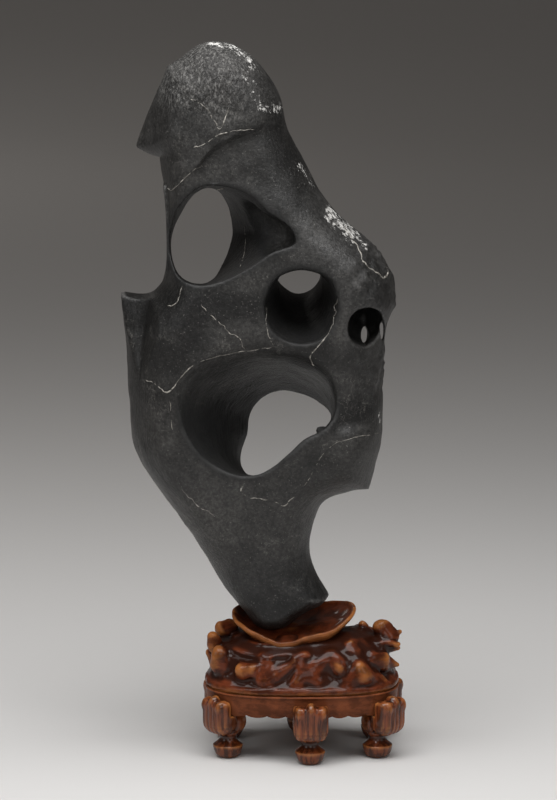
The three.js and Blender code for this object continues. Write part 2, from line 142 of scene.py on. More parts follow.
def chart_of(loop):
    """depth_inside worked out once on a 1 mm grid. The result reads it back, blended between the
    four nearest grid points."""
    xs = np.arange(CHART_LOW[0], CHART_HIGH[0] + 1)
    zs = np.arange(CHART_LOW[1], CHART_HIGH[1] + 1)
    table = np.stack([depth_inside(loop, np.full_like(zs, x), zs) for x in xs])

    def read(x, z):
        u = np.clip(x - xs[0], 0, len(xs) - 1.001)
        v = np.clip(z - zs[0], 0, len(zs) - 1.001)
        i, j = u.astype(int), v.astype(int)
        u, v = u - i, v - j
        low = table[i, j] * (1 - v) + table[i, j + 1] * v
        high = table[i + 1, j] * (1 - v) + table[i + 1, j + 1] * v
        return low * (1 - u) + high * u
    return read


def smooth_min(a, b, blend):
    """The smaller of a and b, rounded off where they are within `blend` of each other."""
    mix = np.maximum(blend - np.abs(a - b), 0) / blend
    return np.minimum(a, b) - mix * mix * blend / 4


def smooth_max(a, b, blend):
    return -smooth_min(-a, -b, blend)


def ease(value, low, high):
    """0 below low, 1 above high, and a smooth step between them."""
    t = np.clip((value - low) / (high - low), 0, 1)
    return t * t * (3 - 2 * t)


def hill(x, z, cx, cz, sx, sz, height):
    """A bell-shaped rise of that height over (cx, cz)."""
    return height * np.exp(-((x - cx) / sx) ** 2 - ((z - cz) / sz) ** 2)


def speckle(ix, iy, iz, seed):
    """One random number from 0 to 1 for each whole-numbered corner."""
    n = (ix * 73856093) ^ (iy * 19349663) ^ (iz * 83492791) ^ (seed * 2654435)
    n = (n & 0x7FFFFFFF) * 1103515245 + 12345
    n = (n ^ (n >> 15)) & 0x7FFFFFFF
    return ((n * 48271) % 2147483647) / 2147483647


def swell(x, y, z, size, seed=0):
    """Smooth random swelling from -1 to 1: random numbers on a grid of cubes, blended between."""
    corner, part = [], []
    for value in (x, y, z):
        scaled = np.asarray(value) / size
        whole = np.floor(scaled).astype(np.int64)
        t = scaled - whole
        corner.append(whole)
        part.append(t * t * (3 - 2 * t))
    total = 0
    for dx in (0, 1):
        for dy in (0, 1):
            for dz in (0, 1):
                share = ((part[0] if dx else 1 - part[0]) * (part[1] if dy else 1 - part[1])
                         * (part[2] if dz else 1 - part[2]))
                total = total + share * speckle(corner[0] + dx, corner[1] + dy, corner[2] + dz, seed)
    return 2 * total - 1


def round_angles(count):
    """That many angles, evenly spread over a full turn."""
    return np.arange(count) * 2 * math.pi / count


def ball(x, y, z, at, size):
    """About the distance inside an ellipsoid with that centre and those half sizes."""
    r = np.sqrt(((x - at[0]) / size[0]) ** 2 + ((y - at[1]) / size[1]) ** 2 + ((z - at[2]) / size[2]) ** 2)
    return (1 - r) * min(size)


def rod(x, y, z, start, end, radius_start, radius_end, flat=1.0):
    """About the distance inside a round rod from start to end whose radius changes evenly along it.
    flat below 1 makes it deeper along Y than it is wide."""
    axis = np.array(end, float) - start
    axis[1] *= flat
    dx, dy, dz = x - start[0], (y - start[1]) * flat, z - start[2]
    t = np.clip((dx * axis[0] + dy * axis[1] + dz * axis[2]) / (axis @ axis), 0, 1)
    away = np.sqrt((dx - t * axis[0]) ** 2 + (dy - t * axis[1]) ** 2 + (dz - t * axis[2]) ** 2)
    return radius_start + (radius_end - radius_start) * t - away


# ---- Skins of shapes given as a function that is positive inside ----
def ticks(low, high, step, fine=()):
    """Marks from low to high, `step` apart, and closer inside each (from, to, step) in fine."""
    marks = [low]
    while marks[-1] < high:
        at = marks[-1]
        near = [size for start, stop, size in fine if start <= at < stop]
        marks.append(at + (near[0] if near else step))
    return np.array(marks)


def slope_of(field, p, reach):
    """Which way the function grows at each point, by differences over a short reach."""
    columns = []
    for axis in range(3):
        step = np.zeros(3)
        step[axis] = reach
        columns.append(field(*(p + step).T) - field(*(p - step).T))
    return np.stack(columns, 1) / (2 * reach)


def part(slices):
    """An index for a solid array that takes the slice given for an axis, and all of the others."""
    return tuple(slices.get(axis, slice(None)) for axis in range(3))


# How many times a skin's points are moved onto their surface, the longest such move, and the share
# of its cell that each point keeps from the cell's sides
SETTLE_ROUNDS, LONGEST_MOVE, CELL_MARGIN = 2, 0.6, 0.04


def skin_of(field, xs, ys, zs):
    """The closed surface where the function crosses zero. Every cell of the grid that it passes
    through holds one point, the mean of its crossings with the cell's edges, moved onto the
    surface. Every grid edge it crosses makes one four-sided face of the points around it."""
    marks = (xs, ys, zs)
    shape = tuple(len(m) for m in marks)
    mesh = np.meshgrid(*marks, indexing="ij")
    value = field(*(m.ravel() for m in mesh)).reshape(shape)
    solid = value > 0
    cells = tuple(n - 1 for n in shape)
    total = np.zeros(cells + (3,))
    count = np.zeros(cells)
    crossings = []
    for axis in range(3):
        low, high = part({axis: slice(0, -1)}), part({axis: slice(1, None)})
        crossed = solid[low] != solid[high]
        gap = value[low] - value[high]
        share = value[low] / np.where(gap == 0, 1, gap)
        points = np.stack([m[low] for m in mesh], -1)
        points[..., axis] += share * (mesh[axis][high] - mesh[axis][low])
        points *= crossed[..., None]
        a, b = [other for other in range(3) if other != axis]
        for da in (0, 1):
            for db in (0, 1):
                around = part({a: slice(da, cells[a] + da), b: slice(db, cells[b] + db)})
                total += points[around]
                count += crossed[around]
        crossings.append((crossed, solid[low]))
    used = count > 0
    number = np.full(cells, -1)
    number[used] = np.arange(used.sum())
    points = total[used] / count[used][:, None]
    faces = []
    for axis, (crossed, below) in enumerate(crossings):
        u, v = (axis + 1) % 3, (axis + 2) % 3
        at = np.argwhere(crossed[part({u: slice(1, -1), v: slice(1, -1)})])
        at[:, u] += 1
        at[:, v] += 1
        ring = []
        for du, dv in ((1, 1), (0, 1), (0, 0), (1, 0)):
            cell = at.copy()
            cell[:, u] -= du
            cell[:, v] -= dv
            ring.append(number[tuple(cell.T)])
        quads = np.stack(ring, 1)
        outward = below[tuple(at.T)]
        faces.append(np.where(outward[:, None], quads, quads[:, ::-1]))
    faces = np.concatenate(faces)
    corner = np.argwhere(used)
    low = np.stack([marks[a][corner[:, a]] for a in range(3)], 1)
    high = np.stack([marks[a][corner[:, a] + 1] for a in range(3)], 1)
    room = (high - low) * CELL_MARGIN
    for _ in range(SETTLE_ROUNDS):
        slope = slope_of(field, points, 0.2)
        move = -field(*points.T) / np.maximum((slope ** 2).sum(1), 0.05)
        points = points + slope * np.clip(move, -LONGEST_MOVE, LONGEST_MOVE)[:, None]
        points = np.clip(points, low + room, high - room)
    return points, faces


def neighbour_mean(points, faces, values, rounds):
    """Each value becomes the mean of its neighbours' along the faces' sides, some rounds over."""
    a = faces.ravel()
    b = np.roll(faces, -1, axis=1).ravel()
    count = np.bincount(a, minlength=len(points)) + np.bincount(b, minlength=len(points))
    for _ in range(rounds):
        sums = [np.bincount(a, column[b], len(points)) + np.bincount(b, column[a], len(points))
                for column in values.T]
        values = np.stack(sums, 1) / np.maximum(count, 1)[:, None]
    return values


def unit(vectors):
    """The same directions, each one long."""
    return vectors / np.maximum(np.linalg.norm(vectors, axis=1, keepdims=True), 1e-9)


def point_normals(points, faces):
    """The direction outwards at each point: the sum over its faces of the cross product of the
    face's diagonals."""
    a, b, c, d = (points[faces[:, k]] for k in range(4))
    across = np.cross(c - a, d - b)
    return unit(np.stack([sum(np.bincount(faces[:, k], across[:, axis], len(points))
                              for k in range(4)) for axis in range(3)], 1))


def standing_out(points, faces, rounds):
    """How far each point stands out from the mean surface around it, in millimetres: positive on
    ridges and edges, negative in grooves."""
    mean = neighbour_mean(points, faces, points, rounds)
    return ((points - mean) * point_normals(points, faces)).sum(1)


def add_piece(name, points, faces, material, replaces=None, marks=None):
    """Makes the mesh, in metres, with its per-point marks, and hangs it on the body. Each face has
    four corners, or three with the last one given twice."""
    mesh = bpy.data.meshes.new(name)
    placed = (points + (STAND_X, 0, 0)) * MM
    corners = np.ones(faces.shape, bool)
    corners[:, 3] = faces[:, 3] != faces[:, 2]
    sides = corners.sum(1)
    mesh.vertices.add(len(points))
    mesh.vertices.foreach_set("co", placed.astype(np.float32).ravel())
    mesh.loops.add(int(sides.sum()))
    mesh.loops.foreach_set("vertex_index", faces[corners].astype(np.int32))
    mesh.polygons.add(len(faces))
    mesh.polygons.foreach_set("loop_start", (np.cumsum(sides) - sides).astype(np.int32))
    mesh.polygons.foreach_set("use_smooth", np.ones(len(faces), bool))
    for key, values in (marks or {}).items():
        layer = mesh.attributes.new(key, "FLOAT", "POINT")
        layer.data.foreach_set("value", values.astype(np.float32))
    mesh.update(calc_edges=True)
    mesh.validate()
    mesh.materials.append(material)
    piece = bpy.data.objects.new(name, mesh)
    bpy.context.scene.collection.objects.link(piece)
    if replaces:
        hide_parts(replaces)
    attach(piece, "root")


# ---- Materials ----
def new_material(name):
    """A material, its node tree and its shader."""
    material = bpy.data.materials.new(name)
    material.use_nodes = True
    tree = material.node_tree
    return material, tree, tree.nodes["Principled BSDF"]


def add_node(tree, kind, inputs, **settings):
    """A node with its settings and its inputs, each a number, a colour or another node's output."""
    node = tree.nodes.new(kind)
    for key, value in settings.items():
        setattr(node, key, value)
    for key, value in inputs.items():
        if isinstance(value, bpy.types.NodeSocket):
            tree.links.new(value, node.inputs[key])
        else:
            node.inputs[key].default_value = value
    return node


def math_node(tree, operation, a, b=0.0):
    return add_node(tree, "ShaderNodeMath", {0: a, 1: b}, operation=operation).outputs[0]


def times(tree, a, b):
    return math_node(tree, "MULTIPLY", a, b)


def plus(tree, a, b):
    return math_node(tree, "ADD", a, b)


def minus(tree, a, b):
    return math_node(tree, "SUBTRACT", a, b)


def blend_colour(tree, share, a, b, kind="MIX"):
    """Colour a with that share of colour b laid over it or, if asked, multiplied into it."""
    inputs = {0: share, 6: a, 7: b}
    return add_node(tree, "ShaderNodeMix", inputs, data_type="RGBA", blend_type=kind).outputs[2]


def ramp(tree, value, low, high):
    """0 where the value is below low, 1 above high, and a smooth step between."""
    inputs = {"Value": value, "From Min": low, "From Max": high}
    return add_node(tree, "ShaderNodeMapRange", inputs, interpolation_type="SMOOTHSTEP").outputs[0]


def noise(tree, place, scale, detail=4.0, rough=0.55):
    inputs = dict(Vector=place, Scale=scale, Detail=detail, Roughness=rough)
    return add_node(tree, "ShaderNodeTexNoise", inputs).outputs[0]


def object_place(tree, scale=(1, 1, 1), turn=(0, 0, 0)):
    """Where each point is on its piece, stretched and turned for a pattern."""
    source = add_node(tree, "ShaderNodeTexCoord", {}).outputs["Object"]
    inputs = dict(Vector=source, Scale=scale, Rotation=turn)
    return add_node(tree, "ShaderNodeMapping", inputs).outputs[0]


def mark(tree, name):
    """A number that is stored on the piece's points."""
    return add_node(tree, "ShaderNodeAttribute", {}, attribute_name=name).outputs["Fac"]


def join(tree, shader, colour, rough, relief, strength, depth):
    """Sets the shader's colour, roughness and bumps, which are that many metres deep."""
    tree.links.new(colour, shader.inputs["Base Color"])
    tree.links.new(rough, shader.inputs["Roughness"])
    bump = add_node(tree, "ShaderNodeBump", dict(Height=relief, Strength=strength, Distance=depth))
    tree.links.new(bump.outputs[0], shader.inputs["Normal"])


def grey(level, tint=(1, 1, 1)):
    return (level * tint[0], level * tint[1], level * tint[2], 1)


CHARCOAL, BROWN_CHARCOAL = grey(0.022, (1, 0.98, 0.95)), grey(0.038, (1.0, 0.96, 0.9))
# These four multiply the stone's colour; the first two also lay in painted shade and painted light
CLEAN_AND_SHADED, DUSTY_AND_LIT = grey(0.24), grey(1.35)
DARK_GRAIN, LIGHT_GRAIN = grey(0.62), grey(1.45)
# Paler worn stone, and the near-black painted shade laid on the walls of the holes
WORN_STONE, HOLE_SHADE = grey(0.07, (1, 0.98, 0.95)), grey(0.008)
SPECK, FLECK = grey(0.14, (1, 0.96, 0.9)), grey(0.17, (1, 0.97, 0.92))
HAIRLINE, CALCITE = grey(0.16, (1, 0.95, 0.87)), grey(0.55, (1, 0.98, 0.94))
DULL_VEIN, BRIGHT_VEIN = grey(0.10, (1, 0.93, 0.82)), grey(0.36, (1, 0.94, 0.84))
# Tan of wear, and the dark brown of the recesses, which also serves as painted shade under the seat
WORN_TAN, RECESS_AND_SHADE_BROWN = (0.44, 0.165, 0.045, 1), (0.022, 0.006, 0.003, 1)
# Turns, round Y, of the head's pits and of the scratches that run down the stone
PIT_TURN, SCRATCH_TURN = (0, math.radians(-50), 0), (0, math.radians(35), 0)


def black_stone():
    """Dark limestone: charcoal with browner clouds, darker where it is clean and greyer where it
    is dusty, with painted shade and painted light laid in through the same mark, and with a fine
    grain, specks and pale hairlines. It is paler where it is worn, nearly black with painted shade
    on the walls of the holes, flecked and pitted on the head, and crusted with white calcite along
    the marked strokes. Fine scratches run down it and across it."""
    material, tree, shader = new_material("black stone")
    place = object_place(tree)
    clouds = noise(tree, place, 11, 5)
    colour = blend_colour(tree, ramp(tree, clouds, 0.35, 0.7), CHARCOAL, BROWN_CHARCOAL)
    # The dust mark lays in dust, and also painted shade and painted light
    dust_and_light = plus(tree, mark(tree, "dust_and_light"), times(tree, noise(tree, place, 42, 6, 0.7), 2.4))
    mottle = blend_colour(tree, ramp(tree, dust_and_light, 0.4, 2.0), CLEAN_AND_SHADED, DUSTY_AND_LIT)
    colour = blend_colour(tree, 1.0, colour, mottle, "MULTIPLY")
    grain = noise(tree, place, 420, 5, 0.65)
    fine = blend_colour(tree, ramp(tree, grain, 0.36, 0.66), DARK_GRAIN, LIGHT_GRAIN)
    colour = blend_colour(tree, 1.0, colour, fine, "MULTIPLY")
    specks = ramp(tree, noise(tree, place, 700, 3, 0.75), 0.60, 0.74)
    colour = blend_colour(tree, specks, colour, SPECK)
    # Hairlines lie where a noise is near its middle, in patches
    away = math_node(tree, "ABSOLUTE", minus(tree, noise(tree, place, 38, 6, 0.6), 0.5))
    hairline = minus(tree, 1.0, ramp(tree, away, 0.0, 0.007))
    hairline = times(tree, hairline, ramp(tree, noise(tree, place, 21, 2), 0.5, 0.62))
    colour = blend_colour(tree, times(tree, hairline, 0.5), colour, HAIRLINE)
    worn = ramp(tree, plus(tree, mark(tree, "worn"), times(tree, grain, 0.8)), 0.7, 1.5)
    colour = blend_colour(tree, worn, colour, WORN_STONE)
    # Painted shade: the walls of the holes are darkened nearly to black
    colour = blend_colour(tree, times(tree, mark(tree, "hole_shade"), 0.78), colour, HOLE_SHADE)
    flecks = noise(tree, object_place(tree, (1, 1, 0.45), PIT_TURN), 520, 4, 0.65)
    flecks = times(tree, ramp(tree, flecks, 0.5, 0.62), mark(tree, "pitted"))
    colour = blend_colour(tree, times(tree, flecks, 0.65), colour, FLECK)
    crust = plus(tree, times(tree, mark(tree, "crust"), 1.5),
                 times(tree, noise(tree, place, 260, 6, 0.75), 9))
    colour = blend_colour(tree, ramp(tree, crust, 5.3, 6.3), colour, CALCITE)
    rough = plus(tree, times(tree, clouds, 0.25), 0.30)
    rough = plus(tree, rough, times(tree, mark(tree, "pitted"), 0.18))
    rough = plus(tree, rough, times(tree, mark(tree, "hole_shade"), 0.15))
    # Scratches down the stone and, off the pitted head, across it; and the head's pits
    scratches = noise(tree, object_place(tree, (1, 1, 0.16), SCRATCH_TURN), 420, 3, 0.6)
    across = noise(tree, object_place(tree, (0.1, 1, 0.1)), 480, 4, 0.6)
    smooth = minus(tree, 1.0, mark(tree, "pitted"))
    scratches = plus(tree, scratches, times(tree, times(tree, across, smooth), 1.3))
    pits = noise(tree, object_place(tree, (1, 1, 0.5), PIT_TURN), 360, 3, 0.6)
    relief = plus(tree, times(tree, grain, 0.5), times(tree, scratches, 0.4))
    relief = plus(tree, relief, times(tree, mark(tree, "pitted"), times(tree, pits, 3.2)))
    join(tree, shader, colour, rough, relief, 0.85, 0.0011)
    shader.inputs["Specular IOR Level"].default_value = 0.34
    return material


def vein_mineral():
    """Pale calcite, bright in places."""
    material, tree, shader = new_material("pale vein")
    patches = ramp(tree, noise(tree, object_place(tree), 260, 3), 0.4, 0.65)
    colour = blend_colour(tree, patches, DULL_VEIN, BRIGHT_VEIN)
    tree.links.new(colour, shader.inputs["Base Color"])
    shader.inputs["Roughness"].default_value = 0.55
    return material


WOODS = {
    # how the grain is stretched, body colour, share of it that the dark streaks keep, millimetres
    # of standing out at which the tan starts and is full, weight of the wax coat
    "mound wood": ((1, 1, 1.5), (0.105, 0.023, 0.008), 0.45, 0.45, 1.7, 0.3),
    "apron wood": ((1, 1, 2), (0.21, 0.062, 0.024), 0.6, 0.35, 0.9, 0.1),
    "leg wood": ((3, 3, 0.3), (0.15, 0.036, 0.011), 0.3, 0.35, 1.15, 0.7),
}


def polished_wood(name):
    """Stained, polished wood: almost black in the recesses, tan where hands have worn the high
    edges, with fine streaks along the grain and a clear coat of wax. On the mound the same dark
    brown is also painted shade on the upper slope under the seat."""
    grain_scale, body, dark_share, worn_from, worn_to, gloss = WOODS[name]
    material, tree, shader = new_material(name)
    place = object_place(tree, grain_scale)
    plain = object_place(tree)
    streaks = noise(tree, place, 90, 5, 0.6)
    blotches = noise(tree, plain, 60, 3, 0.5)
    dark = tuple(dark_share * c for c in body) + (1,)
    light = tuple(1.6 * c for c in body) + (1,)
    colour = blend_colour(tree, ramp(tree, streaks, 0.41, 0.57), dark, body + (1,))
    colour = blend_colour(tree, times(tree, ramp(tree, blotches, 0.5, 0.7), 0.4), colour, light)
    # The tan: where the point stands out, by the fine mark and a share of the broad one, which on the mound
    # is lowered by painted shade under the seat
    stands = plus(tree, times(tree, mark(tree, "broad_and_shade"), 0.3), mark(tree, "worn"))
    stands = plus(tree, stands, times(tree, minus(tree, streaks, 0.5), worn_to * 0.5))
    high = ramp(tree, stands, worn_from, worn_to)
    colour = blend_colour(tree, times(tree, high, 0.68), colour, WORN_TAN)
    # Dark brown in the recesses and, on the mound, painted shade under the seat
    low = times(tree, plus(tree, mark(tree, "worn"), mark(tree, "broad_and_shade")), -1)
    low = ramp(tree, low, -0.5, 0.8)
    colour = blend_colour(tree, times(tree, low, 0.95), colour, RECESS_AND_SHADE_BROWN)
    rough = plus(tree, times(tree, streaks, 0.3), 0.30)
    shader.inputs["Specular IOR Level"].default_value = 0.05
    shader.inputs["Coat Weight"].default_value = gloss
    shader.inputs["Coat Roughness"].default_value = 0.12
    shader.inputs["Coat IOR"].default_value = 1.5
    relief = plus(tree, noise(tree, place, 190, 4, 0.6), times(tree, blotches, 2.5))
    join(tree, shader, colour, rough, relief, 0.3, 0.0008)
    return material


# ---- The stone ----
stone_chart = chart_of(np.vstack([spline(stroke)[:-1] for stroke in STONE_STROKES]))
for hole in HOLES:
    hole["mouth_chart"] = chart_of(spline(hole["mouth"], closed=True))
    hole["throat_chart"] = chart_of(spline(hole["throat"], closed=True))


def edge_line(x, z):
    """How far back the stone's edge lies: the wing and the beak sit further back."""
    return hill(x, z, -134, 310, 26, 70, 16) + hill(x, z, -122, 470, 22, 40, 10)


def brow(x, z):
    """The head overhangs: below a slanting line the neck falls back, and fills out again lower."""
    line = np.interp(x, [-103, -76, -65, -46, -30, -13, 5], [434, 452, 464, 474, 480, 484, 488])
    below = line - z
    return 6.5 * ease(below, -2, 7) * (1 - ease(below, 30, 100)) * ease(x, -92, -68)


def side_facet(x, z):
    """Left of a nearly upright edge, the head turns away to the left."""
    past = -98.5 - x
    return 1.15 * (past + np.sqrt(past * past + 2)) / 2 * ease(z, 425, 450) * (1 - ease(z, 503, 530))


def wing_groove(x, y, z):
    """Inside the cut left of a crisp edge that slants down to the left: a wall that slopes back
    from the edge, down to a thin wing that faces the front."""
    down = np.clip((372 - z) / 96, 0, 1.2)
    past = -100.5 - 20.5 * down ** 1.4 - x
    width = np.interp(down, [0, 0.4, 0.8, 1.1], [8, 12, 9, 5])
    wall = (past - (y + 44) * width / 38) * 38 / np.hypot(38, width)
    floor = np.interp(down, [0, 0.5, 0.8, 1.05, 1.2], [-6, -11, -23, -42, -60]) - y
    floor = floor + 0.6 * np.maximum(past - width, 0)
    return np.minimum(smooth_min(wall, floor, 4), 392 - z)


def flank_panel(x, z):
    """A shallow upright panel on the right flank, ending below in a crisp ledge, and the swell
    under the ledge."""
    ledge = 255 + 2.5 * np.sin((x - 18) / 14)
    panel = 5 * ease(x, 16, 34) * (1 - ease(x, 48, 62)) * ease(z - ledge, -8, 4) * (1 - ease(z, 280, 330))
    return panel - hill(x, z, 42, 230, 22, 16, 3)


def front_depth(x, z):
    """How far the front stands out from the edge line."""
    depth = 30 + 20 * ease(z, 90, 260) - 12 * ease(z, 390, 520)
    depth = depth + hill(x, z, 35, 370, 30, 40, 5) + hill(x, z, -70, 310, 40, 40, 4)
    return depth - brow(x, z) - side_facet(x, z) - flank_panel(x, z)


def back_depth(x, z):
    """How far the back stands out, with two long shallow furrows running down it."""
    depth = 28 + 18 * ease(z, 90, 280) - 8 * ease(z, 400, 520) + hill(x, z, 30, 300, 40, 60, 6)
    depth = depth - hill(x + 0.3 * (z - 300), z, -45, 290, 12, 90, 6)
    return depth - hill(x - 0.2 * (z - 460), z, -40, 450, 12, 60, 6)


# Heights along the chamfer of the upper right edge, and its width there
CHAMFER_HEIGHTS = [350, 358, 366, 374, 382, 392, 400, 415, 430, 460]
CHAMFER_WIDTHS = [1, 2, 4, 8, 12, 13, 12, 10, 6, 4]


def stone_body(x, y, z):
    """The outline swelled to front and back: one minus the squared shares of the way from the
    full depth to the outline and from the edge line to the face. A chamfer is cut along the
    upper right edge, wider towards the hip."""
    edge = edge_line(x, z)
    inside = stone_chart(x, z)
    reach = np.where(y < edge, front_depth(x, z), back_depth(x, z))
    edge_round = EDGE_ROUND - (EDGE_ROUND - FOOT_ROUND) * (1 - ease(z, 112, 150))
    s = np.minimum(inside / edge_round, 1)
    value = SOFTNESS * (1 - (1 - s) ** 2 - ((y - edge) / reach) ** 2)
    width = np.interp(z, CHAMFER_HEIGHTS, CHAMFER_WIDTHS)
    chamfer = (y + 10 + 36 * inside / width) * width / np.hypot(36, width)
    outside_window = 1 - ease(x, -16, 0) * ease(z, 352, 385) * (1 - ease(z, 450, 475))
    value = smooth_min(value, chamfer + 40 * outside_window, 4)
    return smooth_min(value, -wing_groove(x, y, z), 1.5)


def hole_field(hole, x, y, z):
    """Inside a hole: its mouth's loop turning evenly into its throat's, opening again behind."""
    level = z + hole["fall"] * y
    t = np.clip((y - hole["start"]) / (hole["end"] - hole["start"]), 0, 1)
    wall = (1 - t) * hole["mouth_chart"](x, level) + t * hole["throat_chart"](x, level)
    return wall + 0.15 * np.maximum(y - hole["end"], 0)


def slot_field(x, y, z, centre, half):
    """Inside a slot with an oval section that runs from front to back and falls as it goes."""
    level = z + 0.156 * y
    r = np.hypot((x - centre[0]) / half[0], (level - centre[1]) / half[1])
    return (1 - r) * half[0]


# Hollows in the stone: centre, half sizes, how softly they join
HOLLOWS = [
    ((-142, -34, 482), (34, 40, 52), 3),  # the scoop beside the beak
    ((45.5, -36, 331.5), (13.3, 34, 14.6), 4),  # the pit in the hip
    ((-96, -52, 428), (5, 9, 22), 4),  # the dip over the web
]
# The two slots through the pit's back: centre (x, z) and half sizes
SLOTS = [((46.7, 318), (3.3, 7)), ((59.2, 321), (1.6, 6.8))]


def stone_field(x, y, z):
    """Inside the stone: its body less the holes, the corner of the upper one, the hollows and the
    slots, with the thin web left of the upper hole and the nub on the lowest hole's rim."""
    value = stone_body(x, y, z)
    for hole in HOLES:
        low, high, start, stop = hole["soft"]
        blend = low + (high - low) * ease(z, start, stop)
        value = smooth_min(value, -hole_field(hole, x, y, z), blend)
    corner = rod(x, y, z, (-20, -30, 396), (-36, -20, 408), 12.5, 10.5)
    value = smooth_min(value, -corner, 10)
    for at, size, blend in HOLLOWS:
        value = smooth_min(value, -ball(x, y, z, at, size), blend)
    for centre, half in SLOTS:
        value = smooth_min(value, -slot_field(x, y, z, centre, half), 1)
    web = np.minimum(1.1 + 0.0011 * (z - 388) ** 2 - np.abs(x + 99.4), 16 - np.abs(y + 2))
    web = np.minimum(web, 40 - np.abs(z - 392))
    value = np.maximum(value, web)
    nub = ball(x, y, z, (14.5, -42, 253.5), (4.5, 5, 2.4))
    return smooth_max(value, nub, 2)


def stone_relief(x, y, z):
    """Swelling of the worn surface, in millimetres: rougher on the pitted head, and on the hip but
    for its pit; none on the thin web."""
    relief = 1.1 * swell(x, y, z, 34, 1) + 0.5 * swell(x, y, z, 14, 2) + 0.25 * swell(x, y, z, 6.5, 3)
    relief = relief + pitted_share(x, y, z) * 0.5 * swell(x, y, z, 4.5, 4)
    hip = ease(x, 30, 44) * ease(z, 262, 290) * (1 - ease(z, 385, 400))
    hip = hip * ease(np.hypot(x - 49, z - 328), 17, 25)
    relief = relief + hip * (1.5 * swell(x, y, z, 10, 9) + 0.8 * swell(x, y, z * 1.6, 5, 10))
    return relief * ease(np.abs(x + 99) + np.abs(z - 390) * 0.2, 4, 14)


def pitted_share(x, y, z):
    """Where the head's upper left is roughly pitted: 1 there and 0 elsewhere."""
    slanted = z + 0.25 * x + 6 * swell(x, y, z, 16, 5)
    return ease(slanted, 454, 482) * ease(-x, 30, 62) * (1 - ease(-x, 104, 116))


# Strokes along which white calcite crusts the stone: start, end, half width, bareness
CRUSTS = [
    ((-72, -8, 537), (-45, -10, 532), 3.5, 0),
    ((-46, -12, 530), (-35, -20, 520), 5.5, 0.2),
    ((-42, -36, 518), (-35, -36, 498), 7, 0.5),
    ((-30, -32, 491), (-17, -16, 489), 5, 0.15),
    ((-3, -16, 447), (22, -18, 416), 3, 0.2),
    ((23, -18, 412), (38, -20, 397), 7, -0.3),
    ((38, -20, 397), (47, -24, 386), 4, 0.2),
    ((57, -20, 262), (58, -20, 256), 2.5, 0),
]

# Where dust dulls the stone and painted light brightens it (above 0), and where it is clean and painted
# shade darkens it (below 0): centre x and z, half sizes, amount
DUST_AND_LIGHT = [
    (10, 388, 24, 30, 0.7),
    # painted light: the bright band right of the middle hole
    (28, 340, 7, 26, 0.9),
    (36, 372, 22, 16, 0.2),
    # painted light on the lower left face
    (-61, 196, 26, 22, 0.5),
    # painted shade in the groove left of the wing's crease and on the wing's top
    (-118, 330, 16, 60, -1.0),
    (-120, 345, 18, 7, -1.2),
    (-16, 446, 26, 40, -0.9),
    (6, 310, 30, 12, -1.0),
    (-90, 330, 22, 30, -0.4),
    # painted shade over the upper hole's lower rim
    (-58, 347, 36, 9, -1.5),
    (-45, 330, 26, 14, 0.3),
    (22, 265, 18, 20, -0.4),
    (-84, 300, 20, 20, -0.3),
    # painted shade just above the ledge
    (36, 267, 15, 7, -1.3),
    (28, 249, 30, 6, 0.2),
    (-8, 112, 44, 18, -0.7),
]


def dust_and_light_share(x, z):
    """From -1 where the stone is clean and in painted shade to 1 where it is dusty and in painted light."""
    return np.clip(sum(hill(x, z, *spot) for spot in DUST_AND_LIGHT), -1, 1)


def hole_shade_share(x, y, z):
    """Where painted shade darkens the walls of the holes: 1 on them, fading out over the rim, and less on
    the ceiling of the lowest hole."""
    total = 0
    for hole, ceiling in zip(HOLES, (1, 1, 0.1)):
        near = ease(hole_field(hole, x, y, z), -6, -1.5)
        total = np.maximum(total, near * (1 + (ceiling - 1) * ease(z, 262, 288)))
    return total


# The sides of the cells in which the stone's skin is worked out, finer at the web and the slots
STONE_CELL, FINE_CELL = 2.0, 1.0


def make_stone(stone):
    """The stone, with its skin moved out by its relief, and the marks that its finish reads."""
    xs = ticks(-150, 76, STONE_CELL, [(-108, -92, FINE_CELL), (43, 63, FINE_CELL)])
    points, faces = skin_of(stone_field, xs, ticks(-66, 66, STONE_CELL), ticks(74, 545, STONE_CELL))
    normals = point_normals(points, faces)
    points = points + normals * stone_relief(*points.T)[:, None]
    x, y, z = points.T
    crust = np.full(len(points), -4.0)
    for start, end, width, bare in CRUSTS:
        crust = np.maximum(crust, rod(x, y, z, start, end, width, width, 0.3) / width - bare)
    marks = dict(worn=standing_out(points, faces, 3), pitted=pitted_share(x, y, z), crust=crust,
                 dust_and_light=dust_and_light_share(x, z), hole_shade=hole_shade_share(x, y, z))
    add_piece("stone", points, faces, stone, "rock", marks)


# ---- Veins: thin threads of calcite that lie in the stone's front ----
# The height and distance of the eye that meets them
EYE_HEIGHT, EYE_DISTANCE = 720, 2560
